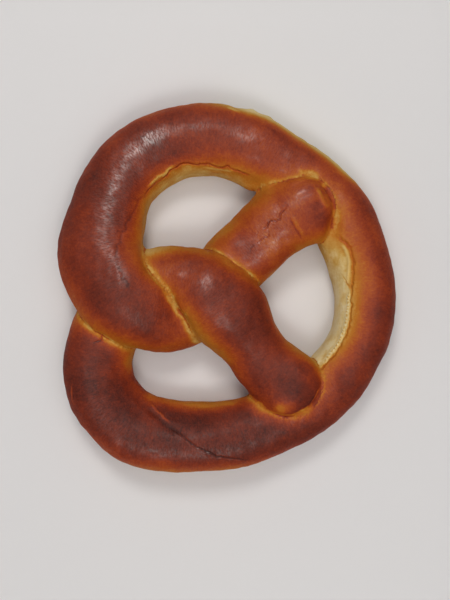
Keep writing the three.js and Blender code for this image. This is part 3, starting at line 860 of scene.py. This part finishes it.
# The crust: its colour value is the baked one plus blotches and painted shade in the furrows, down
# the tears and along the seams, and a ramp turns it into colour. Roughness and glaze follow the
# same value.
def makeCrustMaterial():
    material = bpy.data.materials.new("baked crust")
    material.use_nodes = True
    tree = material.node_tree
    shader = tree.nodes["Principled BSDF"]
    where = addNode(tree, "ShaderNodeTexCoord").outputs["Object"]
    baked = readAttribute(tree, "baked")

    # blotches, and painted shade that darkens the furrows between the wrinkles
    shift = 0.0
    for size, share in crust["mottle"]:
        blotches = calculate(tree, "SUBTRACT", noise(tree, where, size * mm), 0.5)
        shift = calculate(tree, "MULTIPLY_ADD", blotches, share, shift)
    settings = crust["wrinkles"]
    wrinkles = noise(tree, drawnOut(tree, settings["stretch"]), settings["size"], 3.0)
    furrows = calculate(tree, "SUBTRACT", 0.5, wrinkles)
    shift = calculate(tree, "MULTIPLY_ADD", furrows, settings["darker"], shift)
    brown = faded(tree, baked, crust["mottled"], crust["mottled"]["least"], 1.0)
    value = calculate(tree, "MULTIPLY_ADD", shift, brown, baked)

    # painted shade down each tear, and here and there along the bottom of the seams
    ragged = noise(tree, where, crust["raggedSize"] * mm, 2.0, 0.5)
    ragged = calculate(tree, "SUBTRACT", ragged, 0.5)
    settings = crust["tear"]
    distance = readAttribute(tree, "lineDistance")
    away = calculate(tree, "MULTIPLY_ADD", ragged, settings["ragged"], distance)
    tear = faded(tree, calculate(tree, "ABSOLUTE", away), settings, 1.0, 0.0)
    tear = calculate(tree, "MULTIPLY", tear, readAttribute(tree, "linePaintedShade"))
    value = calculate(tree, "MULTIPLY_ADD", tear, settings["darker"], value)
    # painted shade in patches along the bottom of each seam, where the strands meet
    settings = crust["seam"]
    gap = readAttribute(tree, "seamGap")
    away = calculate(tree, "MULTIPLY_ADD", ragged, settings["ragged"], gap)
    seam = faded(tree, away, settings, settings["darker"], 0.0)
    settings = crust["patches"]
    patches = noise(tree, where, settings["size"] * mm, 1.0, 0.5)
    patches = faded(tree, patches, settings, settings["least"], 1.0)
    value = calculate(tree, "MULTIPLY_ADD", seam, patches, value)

    ramp = addNode(tree, "ShaderNodeValToRGB", {}, {"Fac": value})
    ramp.color_ramp.interpolation = "LINEAR"
    stops = ramp.color_ramp.elements
    while len(stops) < len(crust["colours"]):
        stops.new(0.5)
    for stop, (position, colour) in zip(stops, crust["colours"]):
        stop.position = position
        stop.color = (*colour, 1)
    tree.links.new(ramp.outputs["Color"], shader.inputs["Base Color"])

    # satin where it is brown, and dull where it is crumb
    rough = faded(tree, value, crust["satin"], crust["crumbRoughness"], crust["roughness"])
    rough = calculate(tree, "MULTIPLY_ADD", ragged, crust["roughnessRagged"], rough)
    tree.links.new(rough, shader.inputs["Roughness"])

    # a thin glaze, in streaks
    settings = crust["streaks"]
    streaks = noise(tree, drawnOut(tree, settings["stretch"]), settings["size"])
    least = settings["least"] * settings["most"]
    streaks = faded(tree, streaks, settings, least, settings["most"])
    glaze = calculate(tree, "MULTIPLY", streaks, readAttribute(tree, "gloss"))
    glaze = calculate(tree, "MULTIPLY", glaze, faded(tree, value, crust["satin"], 0.0, 1.0))
    tree.links.new(glaze, shader.inputs["Coat Weight"])
    shader.inputs["Coat Roughness"].default_value = crust["glazeRoughness"]
    shader.inputs["Specular IOR Level"].default_value = crust["specular"]

    # wrinkles and pebbles
    settings = crust["pebbles"]
    pebbles = noise(tree, where, settings["size"] * mm, 3.0)
    pebbles = calculate(tree, "MULTIPLY", pebbles, settings["height"])
    height = calculate(tree, "MULTIPLY_ADD", wrinkles, crust["wrinkles"]["height"], pebbles)
    bump = addNode(tree, "ShaderNodeBump", {}, {"Strength": 1.0, "Distance": mm, "Height": height})
    tree.links.new(bump.outputs["Normal"], shader.inputs["Normal"])
    return material


piece = makePretzel()
piece.data.materials.clear()
piece.data.materials.append(makeCrustMaterial())
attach(piece, "root")
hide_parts("pretzel")

studio = {
    "floorSize": 6.0,
    "floorColour": (0.78, 0.78, 0.79),
    "floorRoughness": 0.6,
    "floorSpecular": 0.2,
    "cameraHeight": 0.400,  # above the floor
    "cameraAim": (-0.00076, -0.00494),  # straight down on this point
    "frameHeight": 0.228,  # what the long side of the frame spans, at the rope's middle height
    "ropeMiddle": 0.010,
    "sensor": 36.0,
    "airColour": (0.85, 0.88, 0.93),
    "airStrength": 0.22,
    "panelColour": (1.0, 0.95, 0.90),
    # Soft round panels that face the pretzel: place, size and watts. Lamps light it, and gleams are
    # only mirrored in its glaze.
    "lamps": {
        "key": {"place": (-0.10, 0.52, 0.86), "size": 0.30, "watts": 2.8},
        "near": {"place": (0.03, -0.47, 0.88), "size": 0.30, "watts": 1.5},
        "low": {"place": (-0.75, -0.75, 0.45), "size": 0.35, "watts": 0.4},
        "fill": {"place": (0.15, -0.25, 1.15), "size": 1.6, "watts": 5.6},
    },
    "gleams": {
        "upperGleam": {"place": (-0.10, 0.52, 0.86), "size": 0.38, "watts": 12.5},
        "lowerGleam": {"place": (0.03, -0.47, 0.88), "size": 0.30, "watts": 5.0},
    },
}


# A plain square, whose corners are half its size from the middle.
def makeFloor():
    half = studio["floorSize"] / 2
    corners = [(-half, -half, 0), (half, -half, 0), (half, half, 0), (-half, half, 0)]
    mesh = bpy.data.meshes.new("floor")
    mesh.from_pydata(corners, [], [(0, 1, 2, 3)])
    floor = addObject("floor", mesh)
    material = bpy.data.materials.new("pale floor")
    material.use_nodes = True
    shader = material.node_tree.nodes["Principled BSDF"]
    shader.inputs["Base Color"].default_value = (*studio["floorColour"], 1)
    shader.inputs["Roughness"].default_value = studio["floorRoughness"]
    shader.inputs["Specular IOR Level"].default_value = studio["floorSpecular"]
    mesh.materials.append(material)


# The panels, each turned to face the middle of the floor, and the even light of the air.
def makeLights():
    for kind in ("lamps", "gleams"):
        for name, panel in studio[kind].items():
            light = bpy.data.lights.new(name, "AREA")
            light.shape = "DISK"
            light.size = panel["size"]
            light.energy = panel["watts"]
            light.color = studio["panelColour"]
            lamp = addObject(name, light)
            lamp.location = panel["place"]
            lamp.rotation_mode = "QUATERNION"
            lamp.rotation_quaternion = Vector(panel["place"]).to_track_quat("Z", "Y")
            lamp.visible_diffuse = kind == "lamps"
            lamp.visible_glossy = kind == "gleams"
    world = bpy.data.worlds.new("studio air")
    bpy.context.scene.world = world
    world.use_nodes = True
    air = world.node_tree.nodes["Background"]
    air.inputs["Color"].default_value = (*studio["airColour"], 1)
    air.inputs["Strength"].default_value = studio["airStrength"]
    world.cycles_visibility.glossy = False


# The camera looks straight down. Its lens is sensor * distance / what the frame's long side spans.
def makeCamera():
    data = bpy.data.cameras.new("camera")
    data.sensor_width = studio["sensor"]
    distance = studio["cameraHeight"] - studio["ropeMiddle"]
    data.lens = studio["sensor"] * distance / studio["frameHeight"]
    camera = addObject("camera", data)
    camera.location = (*studio["cameraAim"], studio["cameraHeight"])
    bpy.context.scene.camera = camera


makeFloor()
makeLights()
makeCamera()
bpy.context.scene.view_settings.view_transform = "Standard"
print("studio ready")
